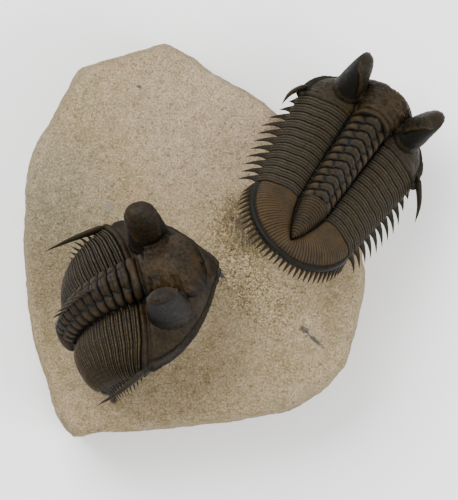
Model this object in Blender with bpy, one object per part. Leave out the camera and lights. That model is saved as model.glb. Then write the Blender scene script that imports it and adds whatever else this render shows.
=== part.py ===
"""Two trilobites fixed in a loose block of pale limestone, lying on its flat base.

Blender script, metres, +Z up, camera side up.  Every plate of each animal is a solid
of its own: head shield, eleven thorax segments and tail shield.  The block, the mounds
under the animals and the rock that fills their bodies are one piece.
"""

import math

import bmesh
import bpy
from mathutils import Euler, Vector
from mathutils.bvhtree import BVHTree

MM = 0.001
SEGMENTS = 11
SHELL = 1.0          # thickness of a plate, mm
SEAM = 0.30          # clearance between neighbouring pieces, mm
GENAL_ROOT = 3.6     # how far a cheek spine starts ahead of the rear edge, mm
GENAL_BOW = 1.2      # how far its middle bows outwards, mm
AXIS_Q = 0.31        # cross-section parameter at the furrow beside the axis
FULCRUM_Q = 0.70     # cross-section parameter where the flank turns down
FLANK_TURN = math.radians(72)
SHARP_ANGLE = math.radians(35)
ROCK_COLOUR = (0.53, 0.44, 0.34, 1.0)
PLATE_COLOURS = {"upper_trilobite": (0.16, 0.10, 0.05, 1.0), "lower_trilobite": (0.19, 0.10, 0.05, 1.0)}

# Outline of the block seen from above, mm, read off the photograph; the stretch
# behind the upper trilobite is hidden and guessed.
BLOCK_OUTLINE = [
    (-6.8, 45.5), (-0.5, 42.3), (3.4, 39.3), (8.9, 35.9), (13.4, 33.3), (18.2, 30.2),
    (23.9, 25.7), (29.5, 19.5), (34.8, 10.5), (38.0, 1.4), (39.1, -7.5), (38.6, -12.7),
    (36.4, -22.7), (34.8, -28.9), (30.0, -34.1), (23.9, -37.7), (21.6, -39.4),
    (14.1, -40.7), (6.8, -41.6), (-4.5, -42.7), (-13.2, -44.3), (-20.5, -43.9),
    (-28.2, -45.2), (-31.8, -40.7), (-34.3, -32.7), (-37.0, -24.8), (-38.4, -16.1),
    (-39.3, -6.1), (-39.8, 0.5), (-39.3, 10.5), (-38.4, 17.0), (-36.4, 23.6),
    (-32.3, 30.2), (-29.1, 35.0), (-27.0, 39.5), (-21.6, 41.6), (-12.5, 44.1),
]
BLOCK_TOP = 31.5


def mix(a, b, t):
    return a + (b - a) * t


def clamp(t, low=0.0, high=1.0):
    return min(max(t, low), high)


def smooth(t):
    t = clamp(t)
    return t * t * (3 - 2 * t)


def arch(r, power=2.2, squash=0.7):
    return max(1 - abs(r) ** power, 0.0) ** squash


class Trilobite:
    """Measurements of one animal, mm, and the shapes that follow from them.

    Body coordinates: x to the animal's right, s backwards along the midline from the
    front of the head, n away from the belly.
    """

    def __init__(self, name, origin, heading, pitch, roll, size, **flex):
        self.name = name
        self.turn = (
            Euler((0, 0, math.radians(heading - 90))).to_matrix()
            @ Euler((math.radians(pitch), 0, 0)).to_matrix()
            @ Euler((0, math.radians(roll), 0)).to_matrix()
        )
        self.origin = Vector(origin)
        self.head = size["head"]
        self.thorax = size["thorax"]
        self.tail = size["tail"]
        self.size = size
        self.flex = flex
        self.pitch_s = self.thorax / SEGMENTS
        self.trace_midline()

    def slope(self, s):
        lead = 1.5
        u = clamp((s - self.head + lead) / (self.thorax + lead))
        extra = clamp((s - self.head - self.thorax) / self.tail)
        start = self.flex["start"]
        return start + (self.flex["end"] - start) * u + self.flex["tail"] * extra

    def trace_midline(self):
        self.step = 0.25
        count = int((self.head + self.thorax + self.tail + 12) / self.step)
        y = z = 0.0
        self.line = []
        for i in range(-40, count):
            angle = self.slope(i * self.step)
            self.line.append((y, z, angle))
            y -= math.cos(angle) * self.step
            z += math.sin(angle) * self.step
        at = self.line[int(self.head / self.step) + 40]
        self.line = [(a - at[0], b - at[1], c) for a, b, c in self.line]

    def midline(self, s):
        place = s / self.step + 40
        i = int(clamp(math.floor(place), 0, len(self.line) - 2))
        t = place - i
        first, second = self.line[i], self.line[i + 1]
        return [mix(a, b, t) for a, b in zip(first, second)]

    def place(self, x, s, n):
        y, z, angle = self.midline(s)
        body = Vector((x, y + n * math.sin(angle), z + n * math.cos(angle)))
        return self.turn @ body + self.origin

    def value(self, key, s):
        u = clamp((s - self.head) / self.thorax)
        front, rear = self.size[key]
        return mix(front, rear, u)

    def section(self, s, q):
        """Point (x, n) of the back across the body, q from -1 to 1."""
        a, h = self.value("axis", s), self.value("height", s)
        f, w = self.value("fulcrum", s), self.value("margin", s)
        d = self.value("drop", s)
        shoulder = 0.16 * d
        side = -1 if q < 0 else 1
        r = abs(q)
        if r <= AXIS_Q:
            r = r / AXIS_Q
            return side * a * r, h * arch(r) - 0.4 * r ** 5
        if r <= FULCRUM_Q:
            r = (r - AXIS_Q) / (FULCRUM_Q - AXIS_Q)
            rise = 0.5 * math.sin(math.pi * r)
            return side * mix(a, f, r), rise - 0.4 * (1 - r) ** 3 - shoulder * r ** 1.6
        r = (r - FULCRUM_Q) / (1 - FULCRUM_Q) * FLANK_TURN
        x = mix(f, w, math.sin(r) / math.sin(FLANK_TURN))
        fall = (1 - math.cos(r)) / (1 - math.cos(FLANK_TURN))
        return side * x, -mix(shoulder, d, 0.35 * r / FLANK_TURN + 0.65 * fall)

    def sweep(self, q):
        """How far a plate's line runs back at q."""
        r = abs(q)
        if r <= AXIS_Q:
            return -0.5 * (1 - (r / AXIS_Q) ** 2)
        if r <= FULCRUM_Q:
            return self.size["sweep"][0] * ((r - AXIS_Q) / (FULCRUM_Q - AXIS_Q)) ** 2
        r = (r - FULCRUM_Q) / (1 - FULCRUM_Q)
        return mix(self.size["sweep"][0], self.size["sweep"][1], r ** 1.3)

    def back_point(self, s, q, lift=0.0):
        """Point of the thorax surface at station s, raised by lift."""
        x, n = self.section(s, q)
        x0, n0 = self.section(s, q - 0.02)
        x1, n1 = self.section(s, q + 0.02) if q < 0.98 else (x, n)
        across = Vector((x1 - x0, n1 - n0)).normalized()
        out = Vector((-across.y, across.x))
        return self.place(x + lift * out.x, s + self.sweep(q), n + lift * out.y)

    def tail_base(self, q, v, sink=0.0):
        """Point of the tail shield: q across, v from its front to its rear."""
        start = self.head + self.thorax
        a = self.size["axis"][1]
        w = self.size["margin"][1]
        side = -1 if q < 0 else 1
        r = abs(q)
        x0, n0 = self.section(start, q)
        narrow = a * (1 - 0.72 * v) * (1 - v ** 7)
        axis_s = start + 0.80 * self.tail * v
        if r <= AXIS_Q:
            t = r / AXIS_Q
            n = n0 * (1 - 0.72 * v) - 0.5 * v - sink
            return self.place(side * narrow * t, axis_s - 0.5 * (1 - t * t) * (1 - v), n)
        reach = (abs(x0) - a) / (w - a)
        angle = v * math.pi / 2
        rim_x = w * math.cos(angle)
        rim_s = start + self.size["sweep"][1] * (1 - v) + self.tail * math.sin(angle)
        x = mix(narrow, rim_x, reach)
        line = self.sweep(q) / self.size["sweep"][1]
        s = mix(axis_s, rim_s, mix(line, reach, smooth(v * 3)))
        s -= 0.8 * math.sin(math.pi * reach) * math.sin(math.pi * v)
        depth = mix(1.0, 0.80, v)
        n = n0 * depth - 0.5 * v * (1 - reach)
        return self.place(side * x, s, n - sink)

    def head_lines(self, v):
        """Edge of the glabella, its centre and the margin, each (x, s, n)."""
        length = self.head
        a = self.size["axis"][0]
        wide = self.size["glabella"]
        if v < 0.6:
            t = v / 0.6
            pinch = 0.5 * math.exp(-(((t - 0.22) / 0.12) ** 2))
            edge = (mix(a, wide, t ** 1.4) - pinch, mix(length, 0.34 * length, t))
            centre = mix(length, 0.40 * length, t)
        else:
            t = (v - 0.6) / 0.4 * math.pi / 2
            edge = (wide * math.cos(t), length * (0.34 - 0.27 * math.sin(t)))
            centre = 0.40 * length
        edge_n = mix(-0.4, 0.6, smooth(v / 0.4)) - 3.4 * smooth((v - 0.55) / 0.45)
        angle = v * math.pi / 2
        w = self.size["margin"][0]
        rear = length + self.size["sweep"][1]
        margin_x = w * math.cos(angle) ** 0.94 + 1.1 * math.sin(math.pi * clamp(v * 1.6))
        snout = self.size["snout"] * math.exp(-(((1 - v) / 0.13) ** 2))
        margin_s = rear * (1 - math.sin(angle) ** 1.02) - snout
        margin_n = -mix(self.size["drop"][0], self.size["brow"], smooth(v))
        return edge, edge_n, centre, (margin_x, margin_s, margin_n)

    def head_base(self, q, v, sink=0.0):
        """Point of the head shield: q across, v from its rear to its front."""
        edge, edge_n, centre, margin = self.head_lines(v)
        side = -1 if q < 0 else 1
        r = abs(q)
        x0, n0 = self.section(self.head, q)
        if r <= AXIS_Q:
            t = r / AXIS_Q
            top = mix(self.size["height"][0], self.size["crown"], smooth(v / 0.55))
            dip = 0.9 * math.exp(-(((v - 0.14) / 0.035) ** 2))
            n = edge_n + (top - edge_n - dip) * arch(t, 2.3, 0.62)
            forward = -0.5 * (1 - t * t) * (1 - smooth(v * 4))
            return self.place(side * edge[0] * t, mix(centre, edge[1], t) + forward, n - sink)
        a, w = self.size["axis"][0], self.size["margin"][0]
        reach = (abs(x0) - a) / (w - a)
        line = self.sweep(q) / self.size["sweep"][1]
        x = mix(edge[0], margin[0], reach)
        s = mix(edge[1], margin[1], mix(line, reach, smooth(v * 1.6)))
        cheek = mix(edge_n, margin[2], reach ** 1.7) + 1.0 * math.sin(math.pi * reach)
        return self.place(side * x, s, mix(n0, cheek, smooth(v * 5)) - sink)

    def lifted(self, base, q, v, lift, forward):
        """Point of a shield raised by lift along its own outward direction."""
        vv = clamp(v, 0.02, 0.97)
        step = 0.012
        q0, q1 = clamp(q - step, -1, 1), clamp(q + step, -1, 1)
        across = base(q1, vv) - base(q0, vv)
        along = base(q, vv + step) - base(q, vv - step)
        out = across.cross(along) if forward else along.cross(across)
        return base(q, v) + out.normalized() * lift


def finish(mesh, name):
    """Weld, triangulate and face the solid outwards, then link it as an object."""
    bmesh.ops.remove_doubles(mesh, verts=mesh.verts, dist=0.02)
    bmesh.ops.dissolve_degenerate(mesh, dist=0.01, edges=mesh.edges)
    bmesh.ops.triangulate(mesh, faces=mesh.faces)
    bmesh.ops.recalc_face_normals(mesh, faces=mesh.faces)
    data = bpy.data.meshes.new(name)
    mesh.to_mesh(data)
    mesh.free()
    data.shade_smooth()
    data.set_sharp_from_angle(angle=SHARP_ANGLE)
    piece = bpy.data.objects.new(name, data)
    bpy.context.scene.collection.objects.link(piece)
    return piece


def add_patch(mesh, rows):
    """Quads between rows of points; returns the rows of vertices."""
    grid = [[mesh.verts.new(p) for p in row] for row in rows]
    for first, second in zip(grid, grid[1:]):
        join_rows(mesh, first, second)
    return grid


def join_rows(mesh, first, second):
    for j in range(len(first) - 1):
        mesh.faces.new((first[j], first[j + 1], second[j + 1], second[j]))


def pleura_lift(q, t):
    """Relief of a thorax plate: ring over the axis, double band beside it."""
    ring = [-0.25, 0.25, 0.55, 0.75, 0.0]
    band = [0.0, 0.42, -0.12, 0.50, 0.0]
    return (ring if abs(q) < AXIS_Q - 0.02 else band)[t]


def build_segment(animal, number):
    """One thorax plate with its two pleural spines."""
    start = animal.head + animal.pitch_s * (number - 1)
    wide = animal.pitch_s
    lines = [SEAM / 2 / wide, 0.24, 0.50, 0.76, 1 - SEAM / 2 / wide]
    stations = [-1.0, -0.82, -0.58, -AXIS_Q, -0.17, 0.0, 0.17, AXIS_Q, 0.58, 0.82, 1.0]
    reach = animal.size["spine_taper"][number - 1]
    rows = []
    for k, t in enumerate(lines):
        row = []
        for q in stations:
            lift = pleura_lift(q, k) * (0.55 if abs(q) == 1.0 else 1.0)
            row.append(animal.back_point(start + t * wide, q, lift))
        rows.append(row)
    if number in animal.size["axial_spines"]:
        middle = len(stations) // 2
        rows[3][middle] = animal.place(0, start + wide * 1.55, animal.value("height", start) + 1.9)
    under = []
    for t in (lines[0], lines[-1]):
        under.append([animal.back_point(start + t * wide, q, -SHELL) for q in stations])
    tips = []
    for side in (-1, 1):
        x, n = animal.section(start + 0.5 * wide, side)
        out = animal.size["spine_out"] * reach
        back = animal.size["spine_back"] * reach
        down = animal.size["spine_down"] * reach
        s = start + 0.5 * wide + animal.sweep(1)
        tips.append(animal.place(x + side * out, s + back, n - down))
    mesh = bmesh.new()
    top = add_patch(mesh, rows)
    low = add_patch(mesh, under)
    join_rows(mesh, top[0], low[0])
    join_rows(mesh, top[-1], low[-1])
    for column, tip in ((0, tips[0]), (-1, tips[1])):
        loop = [row[column] for row in top] + [low[1][column], low[0][column]]
        point = mesh.verts.new(tip)
        for first, second in zip(loop, loop[1:] + loop[:1]):
            mesh.faces.new((first, second, point))
    return finish(mesh, f"{animal.name}_thorax_segment_{number:02d}")


RIBS = 16
TAIL_TOP = [0.0, 0.17, AXIS_Q, 0.58, 0.82, 0.90, 0.95, 1.0]
TAIL_LOW = [0.0, 0.17, AXIS_Q, 0.58, 0.82, 1.0]


def mirrored(values):
    return [-v for v in reversed(values[1:])] + values


def tail_lift(q, k):
    r = abs(q)
    if r >= 0.94:
        return 0.55 if r < 0.99 else 0.15
    if r > 0.86:
        return -0.15
    if r == AXIS_Q:
        return -0.1
    return 0.32 if k % 2 else 0.0


JOINT_STATIONS = [0.0, 0.17, AXIS_Q, 0.58, 0.82, 1.0]


def joint_row(animal, s, stations, lift):
    """Line of a shield along its joint, on the same straight runs as a thorax plate."""
    row = []
    for q in stations:
        r = abs(q)
        i = max(k for k in range(5) if JOINT_STATIONS[k] <= r + 1e-6)
        low, high = JOINT_STATIONS[i], JOINT_STATIONS[i + 1]
        side = -1 if q < 0 else 1
        t = (r - low) / (high - low)
        row.append(animal.back_point(s, side * low, lift).lerp(animal.back_point(s, side * high, lift), t))
    return row


def shield_front(mesh, top, low, top_q, low_q):
    """Joint face of a shield, between its upper line and its coarser lower line."""
    for j in range(len(low) - 1):
        start, end = top_q.index(low_q[j]), top_q.index(low_q[j + 1])
        for k in range(start, end):
            mesh.faces.new((low[j], top[k + 1], top[k]))
        mesh.faces.new((low[j], low[j + 1], top[end]))


def build_tail(animal):
    mesh = bmesh.new()
    stations = mirrored(TAIL_TOP)
    under = mirrored(TAIL_LOW)
    seam = SEAM / 2 / (0.8 * animal.tail)
    steps = [mix(seam, 1.0, (k / RIBS) ** 0.95) for k in range(RIBS + 1)]
    rows = []
    for k, v in enumerate(steps):
        rows.append([
            animal.lifted(animal.tail_base, q, v, tail_lift(q, k), False) for q in stations
        ])
    low_rows = []
    for v in steps:
        low_rows.append([
            animal.tail_base(q, v, SHELL) for q in under
        ])
    joint = animal.head + animal.thorax + SEAM / 2
    rows[0] = joint_row(animal, joint, stations, 0.0)
    low_rows[0] = joint_row(animal, joint, under, -SHELL)
    close_rear(rows)
    close_rear(low_rows)
    top = add_patch(mesh, rows)
    low = add_patch(mesh, low_rows)
    shield_front(mesh, top[0], low[0], stations, under)
    middle = animal.head + animal.thorax + animal.tail / 2
    back = (animal.place(0, middle + 2, 0) - animal.place(0, middle, 0)).normalized()
    rise = (animal.place(0, middle, 1) - animal.place(0, middle, 0)) * animal.size["fringe_rise"]
    for column, side in ((0, -1), (-1, 1)):
        for k in range(RIBS):
            quad = [top[k][column], top[k + 1][column], low[k + 1][column], low[k][column]]
            centre = sum((v.co for v in quad), Vector()) / 4
            v = (steps[k] + steps[k + 1]) / 2
            inner = animal.tail_base(side * 0.90, v)
            edge = animal.tail_base(side, v)
            out = (edge - inner).normalized() + back * 0.55 * (1 - v) + rise
            tip = mesh.verts.new(centre + out.normalized() * animal.size["fringe"])
            for first, second in zip(quad, quad[1:] + quad[:1]):
                mesh.faces.new((first, second, tip))
    return finish(mesh, f"{animal.name}_pygidium")


def close_rear(rows):
    """Bring the two halves of a shield together along the midline."""
    last = rows[-1]
    count = len(last)
    for j in range(count // 2):
        middle = (last[j] + last[count - 1 - j]) / 2
        last[j] = middle.copy()
        last[count - 1 - j] = middle.copy()


HEAD_TOP = [0.0, 0.17, AXIS_Q, 0.44, 0.58, 0.70, 0.82, 0.91, 0.955, 1.0]
HEAD_LOW = [0.0, 0.17, AXIS_Q, 0.58, 0.82, 1.0]
HEAD_STEPS = [0.0, 0.07, 0.14, 0.20, 0.29, 0.39, 0.49, 0.58, 0.67, 0.76, 0.85, 0.93, 1.0]


def head_lift(q, k):
    r = abs(q)
    if r >= 0.95:
        return 0.45 if r < 0.99 else 0.0
    if r > 0.86:
        return -0.35
    return 0.0


def loft(mesh, rings, cap_start=True, cap_end=True):
    """Skin closed rings of points; a ring of one point makes a tip."""
    grid = [[mesh.verts.new(p) for p in ring] for ring in rings]
    for first, second in zip(grid, grid[1:]):
        count = max(len(first), len(second))
        for j in range(count):
            k = (j + 1) % count
            if len(second) == 1:
                mesh.faces.new((first[j], first[k], second[0]))
            else:
                mesh.faces.new((first[j], first[k], second[k], second[j]))
    if cap_start and len(grid[0]) > 2:
        mesh.faces.new(list(reversed(grid[0])))
    if cap_end and len(grid[-1]) > 2:
        mesh.faces.new(grid[-1])


def unite(piece, tool):
    """Fuse tool into piece."""
    bpy.ops.object.select_all(action="DESELECT")
    bpy.context.view_layer.objects.active = piece
    change = piece.modifiers.new("Union", "BOOLEAN")
    change.operation = "UNION"
    change.solver = "EXACT"
    change.use_self = True
    change.object = tool
    bpy.ops.object.modifier_apply(modifier=change.name)
    bpy.data.objects.remove(tool)


EYE_LEVELS = (
    (0.30, 0.96, 1.0), (0.58, 0.88, 0.97), (0.74, 0.81, 0.92), (0.86, 0.70, 0.82),
    (0.95, 0.50, 0.62), (1.0, 0.22, 0.34),
)


def eye_ring(animal, side, level, long=1.0, wide=1.0, count=12):
    """Outline of an eye tower at a level from 0 (base) to 1 (top), as (x, s)."""
    size = animal.size["eye"]
    outer = size["outer"]
    inner = mix(size["inner"], size["outer"] - size["top"], level ** 0.7)
    half = long * size["length"] / 2
    centre_s = animal.head * size["station"]
    width = wide * (outer - inner) / 2
    middle = outer - width - 0.5 * (1 - wide)
    ring = []
    for i in range(count):
        angle = 2 * math.pi * i / count
        c, d = math.cos(angle), math.sin(angle)
        ring.append((side * (middle + width * c), centre_s + half * d))
    return ring


def build_eye(animal, side, tree):
    """Tall eye: upright lens wall outside, sloping smooth lobe inside, domed top."""
    size = animal.size["eye"]
    middle = animal.head * 0.5
    up = (animal.place(0, middle, 1) - animal.place(0, middle, 0)).normalized()
    base = []
    for x, s in eye_ring(animal, side, 0.0):
        hit = tree.ray_cast(animal.place(x, s, 30), -up)[0]
        base.append(hit - up * 0.5)
    rings = [base]
    for level, long, wide in EYE_LEVELS:
        n = mix(1.0, size["height"], level)
        ring = eye_ring(animal, side, level, long, wide)
        rings.append([animal.place(x, s, n) for x, s in ring])
    mesh = bmesh.new()
    loft(mesh, rings)
    return finish(mesh, f"{animal.name}_eye")


def build_genal_spine(animal, side):
    """Long flattened spine running straight back from the corner of the head shield."""
    hand = 0 if side < 0 else 1
    w, d = animal.size["margin"][0], animal.size["drop"][0]
    long = animal.size["genal"][hand] + GENAL_ROOT
    spread, lift = animal.size["genal_out"][hand], animal.size["genal_lift"]
    origin = animal.place(0, animal.head, 0)
    back = origin - animal.place(0, animal.head - 1, 0)
    up = animal.place(0, animal.head, 1) - origin
    out = animal.turn @ Vector((side, 0, 0))
    corner = animal.place(
        side * w * 0.985, animal.head + animal.size["sweep"][1] - GENAL_ROOT, -d * 0.82,
    )
    rings = []
    for t in (0.0, 0.28, 0.55, 0.8, 1.0):
        bow = spread * t ** 1.3 + GENAL_BOW * math.sin(math.pi * t)
        rise = lift * math.sin(math.pi * 0.5 * t) - 0.8 * t * t
        middle = corner + back * long * t + out * bow + up * rise
        if t == 1.0:
            rings.append([middle])
            break
        tall = mix(1.55, 0.35, t ** 0.8)
        thick = mix(0.75, 0.28, t)
        ring = []
        for i in range(6):
            angle = side * 2 * math.pi * i / 6
            ring.append(middle + out * thick * math.cos(angle) + up * tall * math.sin(angle))
        rings.append(ring)
    mesh = bmesh.new()
    loft(mesh, rings)
    return finish(mesh, f"{animal.name}_genal_spine")


def build_head(animal):
    mesh = bmesh.new()
    stations, under = mirrored(HEAD_TOP), mirrored(HEAD_LOW)
    seam = SEAM / 2 / animal.head
    steps = [max(v, seam) for v in HEAD_STEPS]
    rows, low_rows = [], []
    for k, v in enumerate(steps):
        rows.append([animal.lifted(animal.head_base, q, v, head_lift(q, k), True) for q in stations])
        low_rows.append([animal.lifted(animal.head_base, q, v, -SHELL * 1.1, True) for q in under])
    joint = animal.head - SEAM / 2
    rows[0] = joint_row(animal, joint, stations, 0.0)
    low_rows[0] = joint_row(animal, joint, under, -SHELL)
    close_rear(rows)
    close_rear(low_rows)
    top = add_patch(mesh, rows)
    low = add_patch(mesh, low_rows)
    shield_front(mesh, top[0], low[0], stations, under)
    for column in (0, -1):
        for k in range(len(steps) - 1):
            mesh.faces.new((top[k][column], top[k + 1][column], low[k + 1][column], low[k][column]))
    piece = finish(mesh, f"{animal.name}_cephalon")
    form = bmesh.new()
    form.from_mesh(piece.data)
    tree = BVHTree.FromBMesh(form)
    form.free()
    for side in (-1, 1):
        unite(piece, build_eye(animal, side, tree))
        unite(piece, build_genal_spine(animal, side))
    return piece


def build_core(animal):
    """Rock filling under the plates, one vaulted body from head to tail."""
    stations = mirrored([0.0, 0.17, AXIS_Q, 0.58, 0.82])
    rows = []
    for v in reversed(HEAD_STEPS[1:-5]):
        rows.append([animal.lifted(animal.head_base, q, v, -SHELL - 1.1, True) for q in stations])
    for k in range(SEGMENTS + 1):
        s = animal.head + animal.pitch_s * k
        rows.append([animal.back_point(s, q, -(SHELL + SEAM + 0.05)) for q in stations])
    for k in (2, 4, 6):
        v = (k / RIBS) ** 0.95
        rows.append([animal.tail_base(q, v, SHELL + 1.1) for q in stations])
    return close_core(rows, "core")


def close_core(rows, name):
    """Close a vaulted surface with a flat belly."""
    mesh = bmesh.new()
    grid = add_patch(mesh, rows)
    for first, second in zip(grid, grid[1:]):
        mesh.faces.new((first[0], first[-1], second[-1], second[0]))
    mesh.faces.new(grid[0])
    mesh.faces.new(list(reversed(grid[-1])))
    return finish(mesh, name)


def block_height(x, y):
    """Height of the worked rock face, mm."""
    z = BLOCK_TOP + 0.9 * math.sin(0.11 * x + 1.3) * math.cos(0.09 * y)
    z += 0.5 * math.sin(0.23 * x - 0.17 * y)
    for cx, cy, rise, wide in MOUNDS:
        z += rise * math.exp(-((x - cx) ** 2 + (y - cy) ** 2) / (2 * wide * wide))
    return z


# Rises and hollows of the rock face: x, y, height and spread, mm
MOUNDS = [
    (20.0, -3.0, 7.0, 11.0), (-8.0, -15.0, 3.0, 10.0), (34.0, 22.0, -7.0, 9.0),
    (-30.0, -19.5, -11.5, 11.0),
]


def build_block():
    centre = Vector((-2.0, -2.0))
    rings = []
    for level, scale in ((0.0, 0.955), (1.6, 0.985), (14.0, 1.0)):
        ring = []
        for i, (x, y) in enumerate(BLOCK_OUTLINE):
            wave = 1 + 0.006 * math.sin(i * 1.7 + level)
            p = centre + (Vector((x, y)) - centre) * scale * (wave if level else 1.0)
            ring.append(Vector((p.x, p.y, level)))
        rings.append(ring)
    for scale, fall in ((0.985, 2.4), (0.955, 0.8), (0.84, 0.0), (0.66, 0.0), (0.4, 0.0), (0.12, 0.0)):
        ring = []
        for x, y in BLOCK_OUTLINE:
            p = centre + (Vector((x, y)) - centre) * scale
            ring.append(Vector((p.x, p.y, block_height(p.x, p.y) - fall)))
        rings.append(ring)
    mesh = bmesh.new()
    loft(mesh, rings)
    return finish(mesh, "matrix")


def build_pedestal(animal, station, radii, foot, name):
    """Rock stem from the belly down into the block."""
    rings = []
    count = 14
    for n, grow in ((-2.2, 0.60), (-animal.size["drop"][0] * 0.95, 1.0)):
        ring = []
        for i in range(count):
            angle = 2 * math.pi * i / count
            x = radii[0] * grow * math.cos(angle)
            s = station - radii[1] * grow * math.sin(angle)
            ring.append(animal.place(x, s, n))
        rings.append(ring)
    top = rings[-1]
    for z, wide, t in foot["rings"]:
        ring = []
        for i in range(count):
            p = top[i]
            angle = 2 * math.pi * i / count + foot["turn"]
            x = foot["x"] + wide * math.cos(angle)
            y = foot["y"] + wide * math.sin(angle)
            ring.append(Vector((mix(p.x, x, t), mix(p.y, y, t), z)))
        rings.append(ring)
    mesh = bmesh.new()
    loft(mesh, rings)
    return finish(mesh, name)


UPPER = Trilobite(
    "upper_trilobite", (39.2, 25.4, 27.5), 55, -41, 6.7,
    dict(
        head=14.4, thorax=29.4, tail=14.6,
        axis=(4.7, 3.75), height=(5.4, 3.7), fulcrum=(12.4, 10.4), margin=(16.7, 13.5),
        drop=(5.0, 3.9), sweep=(0.8, 1.1), glabella=7.0, crown=5.8, brow=4.6, snout=1.6,
        spine_out=4.1, spine_back=2.9, spine_down=2.0,
        spine_taper=(0.30, 0.55, 0.85, 1.0, 1.0, 1.0, 1.0, 0.97, 0.94, 0.9, 0.86),
        axial_spines=(), fringe=2.7, fringe_rise=0.0,
        genal=(6.0, 8.0), genal_out=(2.5, 5.5), genal_lift=1.2,
        eye=dict(outer=12.5, inner=5.4, top=4.4, length=8.2, height=11.9, station=0.54),
    ),
    start=-0.04, end=0.07, tail=-0.04,
)
LOWER = Trilobite(
    "lower_trilobite", (-14.4, -9.6, 57.0), 18, 5, -26,
    dict(
        head=17.6, thorax=22.8, tail=14.3,
        axis=(5.3, 4.1), height=(5.2, 3.5), fulcrum=(13.2, 10.9), margin=(18.8, 14.6),
        drop=(7.4, 5.2), sweep=(1.4, 7.0), glabella=7.8, crown=6.6, brow=5.2, snout=2.3,
        spine_out=3.2, spine_back=2.4, spine_down=1.8,
        spine_taper=(0.45, 0.7, 0.9, 1.0, 1.0, 1.0, 1.0, 0.97, 0.94, 0.9, 0.86),
        axial_spines=(4, 5, 6, 7, 8), fringe=3.9, fringe_rise=0.8,
        genal=(12.5, 10.0), genal_out=(-1.0, 5.0), genal_lift=0.8,
        eye=dict(outer=13.2, inner=5.8, top=4.8, length=9.2, height=13.2, station=0.62),
    ),
    start=0.04, end=-1.22, tail=-0.45,
)


def start_clean():
    for old in list(bpy.data.objects):
        bpy.data.objects.remove(old, do_unlink=True)


def stone(name, colour, roughness):
    """Plain Principled material of a stone."""
    material = bpy.data.materials.new(name)
    material.use_nodes = True
    shader = material.node_tree.nodes["Principled BSDF"]
    shader.inputs["Base Color"].default_value = colour
    shader.inputs["Roughness"].default_value = roughness
    shader.inputs["Metallic"].default_value = 0.0
    return material


def gather(pieces):
    """Put the pieces in the fossil's own collection, under one empty at its foot."""
    group = bpy.data.collections.new("trilobite_fossil")
    bpy.context.scene.collection.children.link(group)
    foot = bpy.data.objects.new("trilobite_fossil_foot", None)
    group.objects.link(foot)
    for piece in pieces:
        bpy.context.scene.collection.objects.unlink(piece)
        group.objects.link(piece)
        piece.parent = foot


def main():
    start_clean()
    matrix = build_block()
    pedestals = [
        build_pedestal(
            UPPER, UPPER.head + UPPER.thorax - 3.5, (7.6, 8.0),
            dict(x=21.0, y=0.0, turn=1.0, rings=((38.0, 9.0, 0.6), (35.0, 12.0, 1.0), (26.0, 13.0, 1.0))),
            "pedestal_upper",
        ),
        build_pedestal(
            LOWER, LOWER.head + 0.5, (8.6, 8.6),
            dict(x=-9.0, y=-15.0, turn=-1.0, rings=((38.0, 9.0, 0.8), (34.0, 11.0, 1.0), (24.0, 12.0, 1.0))),
            "pedestal_lower",
        ),
    ]
    for pedestal in pedestals:
        unite(matrix, pedestal)
    for animal in (UPPER, LOWER):
        unite(matrix, build_core(animal))
    matrix.data.materials.append(stone("limestone", ROCK_COLOUR, 0.85))
    pieces = [matrix]
    for animal in (UPPER, LOWER):
        plates = [build_head(animal)]
        for number in range(1, SEGMENTS + 1):
            plates.append(build_segment(animal, number))
        plates.append(build_tail(animal))
        shell = stone(f"{animal.name}_shell", PLATE_COLOURS[animal.name], 0.4)
        for plate in plates:
            plate.data.materials.append(shell)
        pieces += plates
    settle(pieces)
    gather(pieces)


def settle(pieces):
    """Scale to metres and put the origin under the middle of the whole."""
    points = [v.co for piece in pieces for v in piece.data.vertices]
    low = Vector([min(p[i] for p in points) for i in range(3)])
    high = Vector([max(p[i] for p in points) for i in range(3)])
    base = Vector(((low.x + high.x) / 2, (low.y + high.y) / 2, low.z))
    for piece in pieces:
        for vertex in piece.data.vertices:
            vertex.co = (vertex.co - base) * MM
    print("size mm", [round(v, 1) for v in high - low])
    print("triangles", sum(len(p.data.polygons) for p in pieces))


main()
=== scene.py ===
"""Looks of a limestone block with two prepared spiny trilobites.

Body coordinates of an animal, in millimetres: x to its right, s backwards along the midline
from the front of the head, n away from the belly. Across a plate q runs from -1 at the left
margin to 1 at the right one; along a shield v runs from its joint with the thorax to its tip.
"""

import math

import bmesh
import bpy
import numpy as np
from mathutils import Euler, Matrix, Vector, noise
from mathutils.bvhtree import BVHTree


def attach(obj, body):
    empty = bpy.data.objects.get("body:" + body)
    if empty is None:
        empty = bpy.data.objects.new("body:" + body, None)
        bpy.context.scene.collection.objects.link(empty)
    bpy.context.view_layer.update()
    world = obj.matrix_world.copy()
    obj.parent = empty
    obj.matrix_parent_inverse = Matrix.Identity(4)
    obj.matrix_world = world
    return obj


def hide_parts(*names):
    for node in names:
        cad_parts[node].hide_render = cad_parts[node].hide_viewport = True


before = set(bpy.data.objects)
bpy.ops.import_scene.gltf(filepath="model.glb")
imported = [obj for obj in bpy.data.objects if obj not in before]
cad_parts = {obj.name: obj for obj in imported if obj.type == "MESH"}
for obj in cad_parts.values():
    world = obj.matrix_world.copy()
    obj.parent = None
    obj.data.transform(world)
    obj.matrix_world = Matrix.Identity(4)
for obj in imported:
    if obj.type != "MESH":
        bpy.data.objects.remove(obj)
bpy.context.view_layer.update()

MM = 0.001
SEGMENTS = 11
SHELL = 1.0          # thickness of a plate, mm
AXIS_Q = 0.31        # cross-section parameter at the furrow beside the axis
FULCRUM_Q = 0.70     # cross-section parameter where the flank turns down
FLANK_TURN = math.radians(72)
FOOT = np.array([8.7279, 0.1737, 0.0])     # the origin, in the drawing's coordinates, mm
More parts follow.
